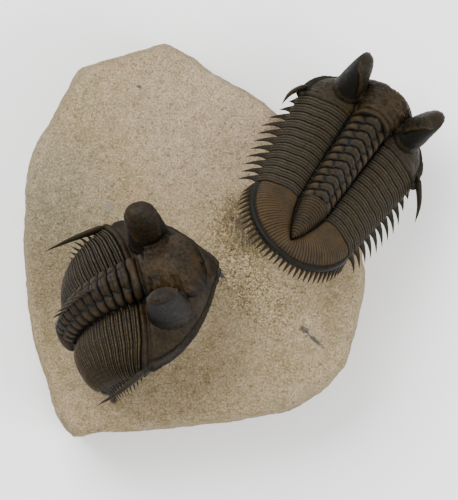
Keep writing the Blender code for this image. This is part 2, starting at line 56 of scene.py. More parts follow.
GENAL_ROOT = 3.6     # how far a cheek spine starts ahead of the head's rear edge, mm

PHOTO_WIDE, PHOTO_TALL = 458, 500
PIXELS_PER_MM = 4.4
VIEW_CENTRE = (-1.0, -2.22)
SENSOR = 36.0
LENS = 700.0
SHARP_HEIGHT = 50.0  # height at which a photo pixel is its true size, mm

SKY_STRENGTH = 1.14
FLOOR_SIDE = 3.0
FLOOR_WHITE = 0.93
# Soft lamps: name, place and side in metres, watts
LAMPS = (("key", (-0.30, 0.40, 0.80), 0.55, 14.0), ("fill", (0.6, -0.3, 0.7), 0.6, 8.0))

# Places on the rock face, mm
MOUND = (3.0, 3.0, 37.0)
PALE_TOP = (-6.0, 27.0, 32.0)
GREY_EDGE = (-45.0, 10.0, 31.0)
GROUND_FACE = (4.0, 4.5, 38.0)
BLUE_STAIN = (-28.7, 7.6, 32.0)

# Dark marks on the rock face: centre in mm, turn in degrees, half length and width in mm, strength
MARKS = (
    ((16.3, -20.5, 32.5), -40, 1.1, 0.8, 0.80), ((18.4, -22.6, 32.2), -42, 3.2, 0.42, 0.85),
    ((-3.1, -7.5, 34.5), -48, 1.7, 0.6, 0.95), ((-21.5, 35.1, 32.0), 0, 0.6, 0.45, 0.80),
)
# Where the rock was worked hardest and is full of dark pits: centre in mm and strength
WORKED = (((-0.5, -6.0, 35.0), 0.95), ((4.0, -10.0, 34.0), 0.90), ((9.0, -15.0, 33.0), 0.65))

COARSE_GRID = 0.64   # side of a cell when the block is remeshed, mm
FINE_GRID = 0.36
FILL_FOOT = 33.5     # height above which rock fills the bodies, mm
FILL_GROWTH = 0.42   # how much that rock is grown, mm
PLATE_REACH = 4.0    # distance past which no plate is looked for, mm

# Painted furrow shade and dark specks, body, painted crest highlight, golden parts, blue-grey parts
# and olive streaks, 0 to 255
SHELL_COLOURS = {
    "upper_shell": (
        (8, 6, 2), (37, 30, 17), (86, 76, 56), (57, 41, 20), (30, 31, 32), (37, 35, 13),
    ),
    "lower_shell": (
        (7, 5, 2), (35, 27, 14), (82, 71, 50), (57, 39, 17), (24, 25, 26), (37, 34, 12),
    ),
}


# Small mathematics

def mix(a, b, t):
    return a + (b - a) * t


def clamp(t, low=0.0, high=1.0):
    return np.minimum(np.maximum(t, low), high)


def smooth(t):
    t = clamp(t)
    return t * t * (3 - 2 * t)


def hump(t, centre, width):
    return np.exp(-(((t - centre) / width) ** 2))


def between(t, low, high, soft):
    return smooth((t - low) / soft + 0.5) * smooth((high - t) / soft + 0.5)


def arch(r, power=2.2, squash=0.7):
    return np.maximum(1 - np.abs(r) ** power, 0.0) ** squash


def unit(v):
    return v / np.maximum(np.linalg.norm(v, axis=-1, keepdims=True), 1e-9)


def grain(points, size, seed, octaves=3):
    """Fractal noise of about -1 to 1 at each point, with lumps of the given size in mm."""
    shift = Vector((seed * 17.3, seed * 5.1, seed * 9.7))
    flat = points.reshape(-1, 3)
    out = [noise.fractal(Vector(p) / size + shift, 1.0, 2.0, octaves) for p in flat]
    return np.array(out).reshape(points.shape[:-1])


# The animals' body plan, as in the solids apart from a few measures of the spines

class Trilobite:

    def __init__(self, name, origin, heading, pitch, roll, size, start, end, tail):
        self.name = name
        turn = (
            Euler((0, 0, math.radians(heading - 90))).to_matrix()
            @ Euler((math.radians(pitch), 0, 0)).to_matrix()
            @ Euler((0, math.radians(roll), 0)).to_matrix()
        )
        self.turn = np.array(turn)
        self.origin = np.array(origin) - FOOT
        self.head, self.thorax, self.tail = size["head"], size["thorax"], size["tail"]
        self.size = size
        self.bend = (start, end, tail)
        self.plate = self.thorax / SEGMENTS
        step = 0.25
        count = int((self.head + self.thorax + self.tail + 12) / step)
        self.line_s = np.arange(-40, count) * step
        self.line_turn = self.slope(self.line_s)
        run, climb = np.cos(self.line_turn) * step, np.sin(self.line_turn) * step
        self.line_y = run - np.cumsum(run)
        self.line_z = np.cumsum(climb) - climb
        self.line_y = self.line_y - np.interp(self.head, self.line_s, self.line_y)
        self.line_z = self.line_z - np.interp(self.head, self.line_s, self.line_z)

    def slope(self, s):
        lead = 1.5
        start, end, tail = self.bend
        u = clamp((s - self.head + lead) / (self.thorax + lead))
        extra = clamp((s - self.head - self.thorax) / self.tail)
        return start + (end - start) * u + tail * extra

    def place(self, x, s, n):
        x, s, n = np.broadcast_arrays(x, s, n)
        turn = np.interp(s, self.line_s, self.line_turn)
        y = np.interp(s, self.line_s, self.line_y) + n * np.sin(turn)
        z = np.interp(s, self.line_s, self.line_z) + n * np.cos(turn)
        return np.stack([x, y, z], axis=-1) @ self.turn.T + self.origin

    def value(self, key, s):
        front, rear = self.size[key]
        return mix(front, rear, clamp((s - self.head) / self.thorax))

    def section(self, s, q):
        a, h = self.value("axis", s), self.value("height", s)
        f, w = self.value("fulcrum", s), self.value("margin", s)
        d = self.value("drop", s)
        shoulder = 0.16 * d
        r = np.abs(q)
        ring = clamp(r / AXIS_Q)
        flat = clamp((r - AXIS_Q) / (FULCRUM_Q - AXIS_Q))
        flank = clamp((r - FULCRUM_Q) / (1 - FULCRUM_Q), 0.0, 1.2) * FLANK_TURN
        fall = (1 - np.cos(flank)) / (1 - math.cos(FLANK_TURN))
        x = np.select(
            [r <= AXIS_Q, r <= FULCRUM_Q],
            [a * ring, mix(a, f, flat)],
            mix(f, w, np.sin(flank) / math.sin(FLANK_TURN)),
        )
        n = np.select(
            [r <= AXIS_Q, r <= FULCRUM_Q],
            [
                h * arch(ring) - 0.4 * ring ** 5,
                0.5 * np.sin(math.pi * flat) - 0.4 * (1 - flat) ** 3 - shoulder * flat ** 1.6,
            ],
            -mix(shoulder, d, 0.35 * flank / FLANK_TURN + 0.65 * fall),
        )
        return np.sign(q) * x, n

    def sweep(self, q):
        front, rear = self.size["sweep"]
        r = np.abs(q)
        flat = clamp((r - AXIS_Q) / (FULCRUM_Q - AXIS_Q))
        flank = clamp((r - FULCRUM_Q) / (1 - FULCRUM_Q))
        inner = -0.5 * (1 - (r / AXIS_Q) ** 2)
        return np.select(
            [r <= AXIS_Q, r <= FULCRUM_Q],
            [inner, front * flat ** 2],
            mix(front, rear, flank ** 1.3),
        )

    def back(self, s, q):
        """Points of the thorax surface."""
        x, n = self.section(s, q)
        return self.place(x, s + self.sweep(q), n)

    def tail_base(self, q, v, sink=0.0):
        """Points of the tail shield."""
        start = self.head + self.thorax
        a, w = self.size["axis"][1], self.size["margin"][1]
        side, r = np.sign(q), np.abs(q)
        x0, n0 = self.section(start, q)
        narrow = a * (1 - 0.72 * v) * (1 - v ** 7)
        axis_s = start + 0.80 * self.tail * v
        t = clamp(r / AXIS_Q)
        inner_x = side * narrow * t
        inner_s = axis_s - 0.5 * (1 - t * t) * (1 - v)
        inner_n = n0 * (1 - 0.72 * v) - 0.5 * v
        reach = clamp((np.abs(x0) - a) / (w - a))
        angle = v * math.pi / 2
        rim_x = w * np.cos(angle)
        rim_s = start + self.size["sweep"][1] * (1 - v) + self.tail * np.sin(angle)
        line = self.sweep(q) / self.size["sweep"][1]
        s = mix(axis_s, rim_s, mix(line, reach, smooth(v * 3)))
        s = s - 0.8 * np.sin(math.pi * reach) * np.sin(math.pi * v)
        outer_x = side * mix(narrow, rim_x, reach)
        outer_n = n0 * mix(1.0, 0.80, v) - 0.5 * v * (1 - reach)
        on_axis = r <= AXIS_Q
        return self.place(
            np.where(on_axis, inner_x, outer_x),
            np.where(on_axis, inner_s, s),
            np.where(on_axis, inner_n, outer_n) - sink,
        )

    def head_lines(self, v):
        """Edge of the glabella, its centre and the margin of the head shield."""
        length, a, wide = self.head, self.size["axis"][0], self.size["glabella"]
        t = clamp(v / 0.6)
        pinch = 0.5 * hump(t, 0.22, 0.12)
        turn = clamp((v - 0.6) / 0.4) * math.pi / 2
        rear_part = v < 0.6
        edge_x = np.where(rear_part, mix(a, wide, t ** 1.4) - pinch, wide * np.cos(turn))
        edge_s = np.where(
            rear_part, mix(length, 0.34 * length, t), length * (0.34 - 0.27 * np.sin(turn))
        )
        centre = np.where(rear_part, mix(length, 0.40 * length, t), 0.40 * length)
        edge_n = mix(-0.4, 0.6, smooth(v / 0.4)) - 3.4 * smooth((v - 0.55) / 0.45)
        angle = v * math.pi / 2
        w = self.size["margin"][0]
        rear = length + self.size["sweep"][1]
        margin_x = w * np.maximum(np.cos(angle), 0.0) ** 0.94
        margin_x = margin_x + 1.1 * np.sin(math.pi * clamp(v * 1.6))
        snout = self.size["snout"] * np.exp(-(((1 - v) / 0.13) ** 2))
        margin_s = rear * (1 - np.sin(angle) ** 1.02) - snout
        margin_n = -mix(self.size["drop"][0], self.size["brow"], smooth(v))
        return edge_x, edge_s, edge_n, centre, margin_x, margin_s, margin_n

    def head_base(self, q, v):
        """Points of the head shield."""
        edge_x, edge_s, edge_n, centre, margin_x, margin_s, margin_n = self.head_lines(v)
        side, r = np.sign(q), np.abs(q)
        x0, n0 = self.section(self.head, q)
        t = clamp(r / AXIS_Q)
        top = mix(self.size["height"][0], self.size["crown"], smooth(v / 0.55))
        dip = 0.9 * hump(v, 0.14, 0.035)
        inner_n = edge_n + (top - edge_n - dip) * arch(t, 2.3, 0.62)
        inner_s = mix(centre, edge_s, t) - 0.5 * (1 - t * t) * (1 - smooth(v * 4))
        a, w = self.size["axis"][0], self.size["margin"][0]
        reach = clamp((np.abs(x0) - a) / (w - a))
        line = self.sweep(q) / self.size["sweep"][1]
        outer_x = mix(edge_x, margin_x, reach)
        outer_s = mix(edge_s, margin_s, mix(line, reach, smooth(v * 1.6)))
        cheek = mix(edge_n, margin_n, reach ** 1.7) + 1.0 * np.sin(math.pi * reach)
        outer_n = mix(n0, cheek, smooth(v * 5))
        on_axis = r <= AXIS_Q
        return self.place(
            side * np.where(on_axis, edge_x * t, outer_x),
            np.where(on_axis, inner_s, outer_s),
            np.where(on_axis, inner_n, outer_n),
        )


UPPER = Trilobite(
    "upper_trilobite", (39.2, 25.4, 27.5), 55, -41, 6.7,
    dict(
        head=14.4, thorax=29.4, tail=14.6,
        axis=(4.7, 3.75), height=(5.4, 3.7), fulcrum=(12.4, 10.4), margin=(16.7, 13.5),
        drop=(5.0, 3.9), sweep=(0.8, 1.1), glabella=7.0, crown=5.8, brow=4.6, snout=1.6,
        spine_out=4.1, spine_back=2.9, spine_down=2.0, beads=0.25, slate_left=0.12,
        spine_taper=(0.30, 0.55, 0.85, 1.0, 1.0, 1.0, 1.0, 0.97, 0.94, 0.9, 0.86),
        axial_spines=(), fringe=3.3, fringe_rise=0.0, left_rise=0.0,
        genal=(6.0, 8.0), genal_out=(2.5, 5.5), genal_lift=1.2, genal_bow=(1.2, 1.2),
        eye=dict(outer=12.5, inner=5.4, top=4.4, length=8.2, height=11.9, station=0.54),
    ),
    start=-0.04, end=0.07, tail=-0.04,
)
LOWER = Trilobite(
    "lower_trilobite", (-14.4, -9.6, 57.0), 18, 5, -26,
    dict(
        head=17.6, thorax=22.8, tail=14.3,
        axis=(5.3, 4.1), height=(5.2, 3.5), fulcrum=(13.2, 10.9), margin=(18.8, 14.6),
        drop=(7.4, 5.2), sweep=(1.4, 7.0), glabella=7.8, crown=6.6, brow=5.2, snout=2.3,
        spine_out=3.2, spine_back=2.4, spine_down=1.8, beads=1.0, slate_left=0.95,
        spine_taper=(0.45, 0.7, 0.9, 1.0, 1.0, 1.0, 1.0, 0.97, 0.94, 0.9, 0.86),
        axial_spines=(4, 5, 6, 7, 8), fringe=3.9, fringe_rise=0.8, left_rise=3.6,
        genal=(12.5, 10.0), genal_out=(-1.0, 5.0), genal_lift=0.8, genal_bow=(0.2, 1.2),
        eye=dict(outer=13.2, inner=5.8, top=4.8, length=9.2, height=13.2, station=0.62),
    ),
    start=0.04, end=-1.22, tail=-0.45,
)


# Making meshes

MASKS = ("ridge", "warm", "slate", "lens")


def skin(name, rings, masks):
    """Closed skin over rings of points: a grid primitive rolled up, its seam and tips merged."""
    rows, cols = rings.shape[:2]
    bpy.ops.object.select_all(action="DESELECT")
    bpy.ops.mesh.primitive_grid_add(x_subdivisions=cols, y_subdivisions=rows - 1, size=MM)
    piece = bpy.context.object
    piece.name = piece.data.name = name
    rolled = np.concatenate([rings, rings[:, :1]], axis=1) * MM
    piece.data.vertices.foreach_set("co", rolled.ravel())
    for key in MASKS:
        values = np.broadcast_to(masks.get(key, 0.0), (rows, cols))
        layer = piece.data.attributes.new(key, "FLOAT", "POINT")
        layer.data.foreach_set("value", np.concatenate([values, values[:, :1]], axis=1).ravel())
    bpy.ops.object.mode_set(mode="EDIT")
    bpy.ops.mesh.select_mode(type="VERT")
    bpy.ops.mesh.select_all(action="SELECT")
    bpy.ops.mesh.remove_doubles(threshold=0.003 * MM)
    bpy.ops.mesh.fill_holes(sides=0)
    bpy.ops.mesh.normals_make_consistent(inside=False)
    bpy.ops.object.mode_set(mode="OBJECT")
    bpy.ops.object.shade_smooth()
    return piece


def join(piece, others):
    bpy.ops.object.select_all(action="DESELECT")
    for other in others:
        other.select_set(True)
    piece.select_set(True)
    bpy.context.view_layer.objects.active = piece
    bpy.ops.object.join()
    return piece


def fuse(piece, tool):
    """Union of two closed meshes."""
    bpy.ops.object.select_all(action="DESELECT")
    piece.select_set(True)
    bpy.context.view_layer.objects.active = piece
    change = piece.modifiers.new("Union", "BOOLEAN")
    change.operation = "UNION"
    change.solver = "MANIFOLD"
    change.object = tool
    bpy.ops.object.modifier_apply(modifier=change.name)
    bpy.data.objects.remove(tool)
    bpy.ops.object.shade_smooth()


def outward(points, dorsal):
    """Unit normals of a grid of points, turned to the dorsal side."""
    out = unit(np.cross(np.gradient(points, axis=1), np.gradient(points, axis=0)))
    middle = out[out.shape[0] // 2, out.shape[1] // 2]
    return out if middle @ dorsal > 0 else -out


def wrap_masks(masks, shape, pick, share=0.0):
    """Masks over the top of a piece, carried on round its low side at a share of their strength."""
    full = {}
    for key, value in masks.items():
        value = np.broadcast_to(value, shape)
        full[key] = np.concatenate([value, value[:, pick] * share], axis=1)
    return full


def meet_at_tip(*sheets):
    """Bring the two halves of the last row of each sheet together."""
    for sheet in sheets:
        last = sheet[-1]
        sheet[-1] = (last + last[::-1]) / 2


def dorsal_of(animal, s):
    return unit(animal.place(0.0, s, 1.0) - animal.place(0.0, s, 0.0))


def cone(name, path, radii, masks, sides=10):
    """Tapered round spine along a path, closed at both ends."""
    path, radii = np.array(path), np.array(radii)
    along = unit(np.gradient(path, axis=0))
    side = unit(np.cross(along, np.array((0.0, 0.0, 1.0))))
    over = np.cross(side, along)
    angle = np.arange(sides) / sides * 2 * math.pi
    wide = radii[:, None, None] * np.cos(angle)[None, :, None] * side[:, None]
    tall = radii[:, None, None] * np.sin(angle)[None, :, None] * over[:, None]
    return skin(name, path[:, None] + wide + tall, masks)


# Thorax plates

PLATE_Q = 190        # points across a plate
PLATE_T = 28         # points along a plate
PLATE_LOW = 6        # points along its underside
SPINE_RINGS = 12


def plate_relief(animal, number, points, q, t):
    """Lift of a thorax plate, mm, and its colour masks."""
    r = np.abs(q)
    ring_r = clamp(r / AXIS_Q)
    drift = 0.05 * grain(points, 2.4, number + 11, 2)
    rear = (number - 1) / (SEGMENTS - 1)
    # Pleura: three flat bands parted by dark lines, each with a fine line along its crest
    bend = t + 0.02 * np.sin(7 * r) + 0.3 * drift
    deep_line = hump(bend, 0.40, 0.045)
    fine_line = hump(bend, 0.71, 0.032)
    crests = hump(bend, 0.22, 0.055) + hump(bend, 0.56, 0.045) + 0.8 * hump(bend, 0.86, 0.04)
    fade = smooth((1.0 - r) / 0.12)
    rounded = np.sin(math.pi * t) ** 0.6
    pleura = 0.04 + 0.20 * rounded + 0.09 * crests - 0.40 * deep_line - 0.20 * fine_line
    pleura = mix(0.55 * rounded, pleura, 0.2 + 0.8 * fade)
    # Ring over the axis: roof shaped, a swollen lobe at each side with an oblique notch inside it
    front = mix(0.04, 0.13, ring_r) + drift
    band = np.sin(math.pi * clamp((t - front) / (0.98 - front))) ** 0.4
    slant = ring_r + 0.22 * (t - 0.5) + 1.5 * drift
    lobe = hump(slant, 0.80, 0.16)
    notch = hump(slant, 0.57, 0.05)
    middle = hump(ring_r, 0.32, 0.15)
    split = hump(t, 0.55 + 0.10 * ring_r, 0.045) * mix(smooth((0.62 - ring_r) / 0.1), 1.0, rear)
    knob = mix(0.34, 0.10, rear)
    ring = -0.22 + band * (0.30 + knob * lobe - 0.26 * notch + 0.6 * knob * middle - 0.20 * split)
    ring = ring + 0.30 * hump(ring_r, 0.0, 0.12) - 0.42 * hump(ring_r, 0.50, 0.20)
    on_ring = between(r, -1, AXIS_Q * 0.965, 0.022)
    lift = mix(pleura, ring, on_ring)
    furrow = hump(r, AXIS_Q, 0.015)
    lift = lift - 0.42 * furrow
    # The joint lines plunge so that neighbours meet in a dark groove
    joint = hump(t, 0.0, 0.05) + hump(t, 1.0, 0.05)
    lift = lift - 0.50 * joint * (1 - 0.3 * on_ring)
    beads = (0.5 + 0.5 * np.cos(r * 150 + number * 1.3)) * clamp(crests) * (1 - on_ring)
    beads = beads * between(r, 0.36, 0.97, 0.08) * animal.size["beads"]
    lift = lift + 0.09 * beads
    crown = band ** 2 * (0.58 + 0.20 * lobe + 0.12 * middle - 0.5 * notch - 0.4 * split)
    crown = crown + 0.25 * hump(ring_r, 0.0, 0.05) * band
    # The ridge mask puts painted highlight on the crests and beads and painted shade in the lines,
    # joints and furrow
    tops = 0.56 + 0.30 * crests - 0.75 * deep_line - 0.40 * fine_line + 0.25 * beads
    ridge = clamp(mix(tops, crown, on_ring)) * (1 - 0.9 * clamp(joint)) * (1 - 0.8 * furrow)
    warm = on_ring * band * clamp(0.05 + 0.6 * lobe + 0.2 * middle)
    flank = smooth((-q - AXIS_Q) / 0.08) * animal.size["slate_left"]
    flank = flank * (0.55 + 0.45 * smooth(2 * rear - 1))
    slate = clamp(furrow + 0.5 * hump(r, AXIS_Q + 0.02, 0.03) + flank)
    return lift, dict(ridge=ridge, warm=warm, slate=slate)


def spine_rings(last, tip, curl):
    """Rings that take the end of a plate out to the point of its spine."""
    middle = last.mean(axis=0)
    rings = []
    for i in range(1, SPINE_RINGS + 1):
        r = i / SPINE_RINGS
        shrink = 0.60 * (1 - r) ** 0.8 + 0.40 * (1 - r) ** 4
        centre = mix(middle, tip, r) + curl * math.sin(math.pi * r)
        rings.append(centre + (last - middle) * shrink)
    return np.array(rings)


def make_plate(animal, number):
    start = animal.head + animal.plate * (number - 1)
    wide = animal.plate
    half = np.linspace(0, 1, PLATE_Q // 2)
    dense = mix(half, half ** 1.25, 0.5)
    q = np.concatenate([-dense[:0:-1], dense])[:, None]
    t = 0.5 - 0.5 * np.cos(np.linspace(0.03, math.pi - 0.03, PLATE_T))
    t = mix(t, np.linspace(0.01, 0.99, PLATE_T), 0.6)[None, :]
    s = start + t * wide
    base = animal.back(s, q)
    out = outward(base, dorsal_of(animal, start))
    lift, masks = plate_relief(animal, number, base, q, t)
    rough = grain(base, 0.7, number, 2) * 0.035 + grain(base, 4.0, number + 30, 2) * 0.05
    top = base + out * (lift + rough)[..., None]
    pick = np.linspace(PLATE_T - 1, 0, PLATE_LOW).astype(int)
    low = base[:, pick] - out[:, pick] * SHELL
    rings = np.concatenate([top, low], axis=1)
    taper = animal.size["spine_taper"][number - 1]
    ends = []
    for side, row in ((-1, 0), (1, -1)):
        x, n = animal.section(start + 0.5 * wide, float(side))
        tip = animal.place(
            x + side * animal.size["spine_out"] * taper,
            start + 0.5 * wide + animal.sweep(1.0) + animal.size["spine_back"] * taper,
            n + (animal.size["left_rise"] * (side < 0) - animal.size["spine_down"]) * taper,
        )
        backwards = unit(animal.place(0, start + 5, 0) - animal.place(0, start, 0))
        curl = (dorsal_of(animal, start) * 0.45 - backwards * 0.35) * taper
        ends.append(spine_rings(rings[row], tip, curl))
    rings = np.concatenate([ends[0][::-1], rings, ends[1]])
    full = wrap_masks(masks, lift.shape, pick, 0.3)
    for key, value in full.items():
        tip_rows = np.linspace(0.45, 0.30, SPINE_RINGS)[:, None] * np.ones_like(value[:1])
        tip_value = tip_rows if key == "ridge" else tip_rows * 0
        full[key] = np.concatenate([tip_value[::-1], value, tip_value])
    piece = skin(f"{animal.name}_plate_{number:02d}", rings, full)
    if number in animal.size["axial_spines"]:
        tip = animal.place(0.0, start + wide * 1.55, animal.value("height", start) + 1.9)
        foot = animal.place(0.0, start + wide * 0.35, animal.value("height", start) - 0.2)
        rise = dorsal_of(animal, start) * 0.35
        path = [mix(foot, tip, r) + rise * math.sin(math.pi * r) for r in np.linspace(0, 1, 9)]
        radii = 0.40 * (1 - np.linspace(0, 1, 9)) ** 0.7
        fuse(piece, cone("spine", path, radii, dict(ridge=0.45, warm=0.4)))
    return piece


# Tail shields

TAIL_RIBS = 26
TAIL_RINGS = 16
FRINGE = 16          # marginal spines at each side


def tail_relief(q, v):
    r = np.abs(q)
    ring_r = clamp(r / AXIS_Q)
    on_axis = between(r, -1, AXIS_Q * 0.95, 0.03)
    field = between(r, AXIS_Q * 1.08, 0.915, 0.025)
    along = clamp(v) ** 0.96
    ribs = np.abs(np.sin(math.pi * TAIL_RIBS * along)) ** 0.7
    rib_high = 0.27 * smooth((1.02 - v) / 0.25) + 0.08
    axis_rings = np.abs(np.sin(math.pi * TAIL_RINGS * (v + 0.02 * ring_r ** 2))) ** 0.8
    lift = field * rib_high * (ribs - 0.35)
    lift = lift + on_axis * 0.30 * (axis_rings - 0.3) * smooth((1 - v) / 0.2)
    rim = between(r, 0.930, 1.1, 0.025)
    lift = lift + rim * 0.42 * np.sin(math.pi * clamp((r - 0.915) / 0.12)) ** 0.7
    lift = lift - 0.30 * hump(r, 0.917, 0.012) - 0.30 * hump(r, AXIS_Q, 0.02)
    lift = lift - 0.40 * hump(v, 0.0, 0.02)
    # The ridge mask is high on rib and ring crests and low between them: painted highlight and
    # painted shade
    masks = dict(
        ridge=field * (0.10 + 0.68 * ribs) + on_axis * axis_rings * 0.62 + rim * 0.30,
        warm=0.9 * field + 0.5 * on_axis,
        slate=clamp(rim + 0.8 * hump(r, AXIS_Q, 0.02)),
    )
    return lift, masks


def make_tail(animal):
    rows, half_cols = 190, 62
    half = np.linspace(0, 1, half_cols)
    q = np.concatenate([-half[:0:-1], half])[None, :]
    seam = 0.03 / (0.8 * animal.tail)
    v = mix(seam, 1.0, np.linspace(0, 1, rows) ** 0.95)[:, None]
    base = animal.tail_base(q, v)
    out = outward(base, dorsal_of(animal, animal.head + animal.thorax))
    out[-3:] = out[-4]
    lift, masks = tail_relief(q, v)
    rough = grain(base, 0.7, 61) * 0.03 + grain(base, 3.0, 62) * 0.06
    inside = between(np.abs(q), -1, 0.86, 0.04)
    fade = mix(1.0, smooth((1 - v) / 0.02 + 0.1), inside)
    top = base + out * ((lift + rough) * fade)[..., None]
    pick = np.linspace(q.shape[1] - 1, 0, 31).astype(int)
    low = animal.tail_base(q[:, pick], v, SHELL)
    meet_at_tip(top, low)
    rings = np.concatenate([top, low], axis=1)
    full = wrap_masks(masks, top.shape[:2], pick)
    piece = skin(f"{animal.name}_tail_shield", rings, full)
    spines = []
    centre = animal.head + animal.thorax + animal.tail / 2
    back = unit(animal.place(0, centre + 2, 0) - animal.place(0, centre, 0))
    rise = dorsal_of(animal, centre) * animal.size["fringe_rise"]
    steps = [mix(seam, 1.0, (k / FRINGE) ** 0.95) for k in range(FRINGE + 1)]
    for side in (-1, 1):
        for k in range(FRINGE):
            middle = (steps[k] + steps[k + 1]) / 2
            edge = animal.tail_base(side * 1.0, middle, SHELL * 0.45)
            inner = animal.tail_base(side * 0.90, middle, SHELL * 0.45)
            way = unit(unit(edge - inner) + back * 0.55 * (1 - middle) + rise)
            long = animal.size["fringe"] + 0.25
            path = [edge + way * (long * r - 0.45) for r in np.linspace(0, 1, 8)]
            droop = dorsal_of(animal, centre) * 0.25
            path = [p - droop * (i / 7) ** 2 for i, p in enumerate(path)]
            radii = 0.54 * (1 - np.linspace(0, 1, 8)) ** 0.75
            spines.append(cone("fringe", path, radii, dict(ridge=0.45, warm=0.5), sides=8))
    fuse(piece, join(spines[0], spines[1:]))
    return piece


# Head shields

def head_relief(animal, q, v, points):
    r = np.abs(q)
    ring_r = clamp(r / AXIS_Q)
    on_axis = between(r, -1, AXIS_Q * 0.96, 0.025)
    cheek = 1 - on_axis
    occipital = np.sin(math.pi * clamp(v / 0.115)) ** 0.6
    lobe = hump(ring_r, 0.72, 0.2)
    lift = on_axis * occipital * (0.30 + 0.40 * lobe)
    # Side furrows that part the lobes of the glabella
    for station, deep in ((0.235, 0.55), (0.36, 0.40), (0.48, 0.28)):
        line = hump(v, station + 0.035 * (1 - ring_r), 0.016)
        lift = lift - on_axis * deep * line * smooth((ring_r - 0.30) / 0.35)
    lift = lift + on_axis * 0.35 * lobe * between(v, 0.16, 0.50, 0.06)
    lift = lift - 0.45 * hump(r, AXIS_Q, 0.018) * smooth((0.62 - v) / 0.1)
    lift = lift + 0.9 * hump(r, AXIS_Q + 0.015, 0.04) * smooth((v - 0.55) / 0.2)
    # Rear border of the cheeks, a ridge and a furrow, and the rolled outer border
    lift = lift + cheek * (0.55 * hump(v, 0.035, 0.028) - 0.40 * hump(v, 0.092, 0.02))
    rim = between(r, 0.93, 1.1, 0.03)
    lift = lift + rim * 0.50 * np.sin(math.pi * clamp((r - 0.91) / 0.125)) ** 0.8
    lift = lift - 0.38 * hump(r, 0.898, 0.02) * smooth((v - 0.05) / 0.1)
    lift = lift - 0.45 * hump(v, 0.0, 0.012)
    lumps = grain(points, 2.6, 71)
    wrinkles = 1 - np.abs(grain(points, 1.5, 72)) * 2.2
    lift = lift + on_axis * smooth((v - 0.16) / 0.1) * (0.22 * lumps + 0.13 * wrinkles)
    lift = lift + cheek * (0.06 * wrinkles + 0.10 * lumps) * smooth((v - 0.1) / 0.1)
    lift = lift + 0.04 * grain(points, 0.6, 73)
    creases = 1 - np.abs(grain(points, 0.8, 74)) * 2.4
    lift = lift + 0.05 * creases * smooth((v - 0.1) / 0.1)
    # The ridge mask follows the wrinkles, lumps and creases and is lowered in the furrows: painted
    # highlight and painted shade
    ridge = clamp(0.36 + 0.10 * wrinkles + 0.08 * lumps + 0.16 * creases)
    ridge = mix(ridge, 0.55 * occipital, on_axis * (v < 0.12))
    ridge = ridge * (1 - 0.6 * hump(r, AXIS_Q, 0.02)) * (1 - 0.5 * hump(r, 0.898, 0.02))
    masks = dict(
        ridge=ridge,
        warm=clamp(on_axis * (0.5 + 0.35 * lumps) + cheek * 0.25 + 0.2 * hump(r, 0.38, 0.05)),
        slate=clamp(rim * 0.8 + animal.size["slate_left"] * 0.4 * (q < -0.5)),
    )
    return lift, masks


EYE_LEVELS = (0.0, 0.30, 0.58, 0.74, 0.86, 0.95, 1.0)
EYE_LONG = (1.0, 0.96, 0.88, 0.81, 0.70, 0.50, 0.22)
EYE_WIDE = (1.0, 1.0, 0.97, 0.92, 0.82, 0.62, 0.34)
LENS_LEVELS = (0.10, 0.50, 0.80, 0.91, 0.96)
LENS_TURNS = (2.45, 2.20, 1.75, 1.10, -0.4)


def eye_point(animal, side, level, angle, long, wide):
    size = animal.size["eye"]
    outer = size["outer"]
    inner = mix(size["inner"], outer - size["top"], clamp(level) ** 0.7)
    half = long * size["length"] / 2
    width = wide * (outer - inner) / 2
    middle = outer - width - 0.5 * (1 - wide) - 1.1 * clamp(1 - wide / 0.82)
    x = side * (middle + width * np.cos(angle))
    return x, animal.head * size["station"] + half * np.sin(angle)


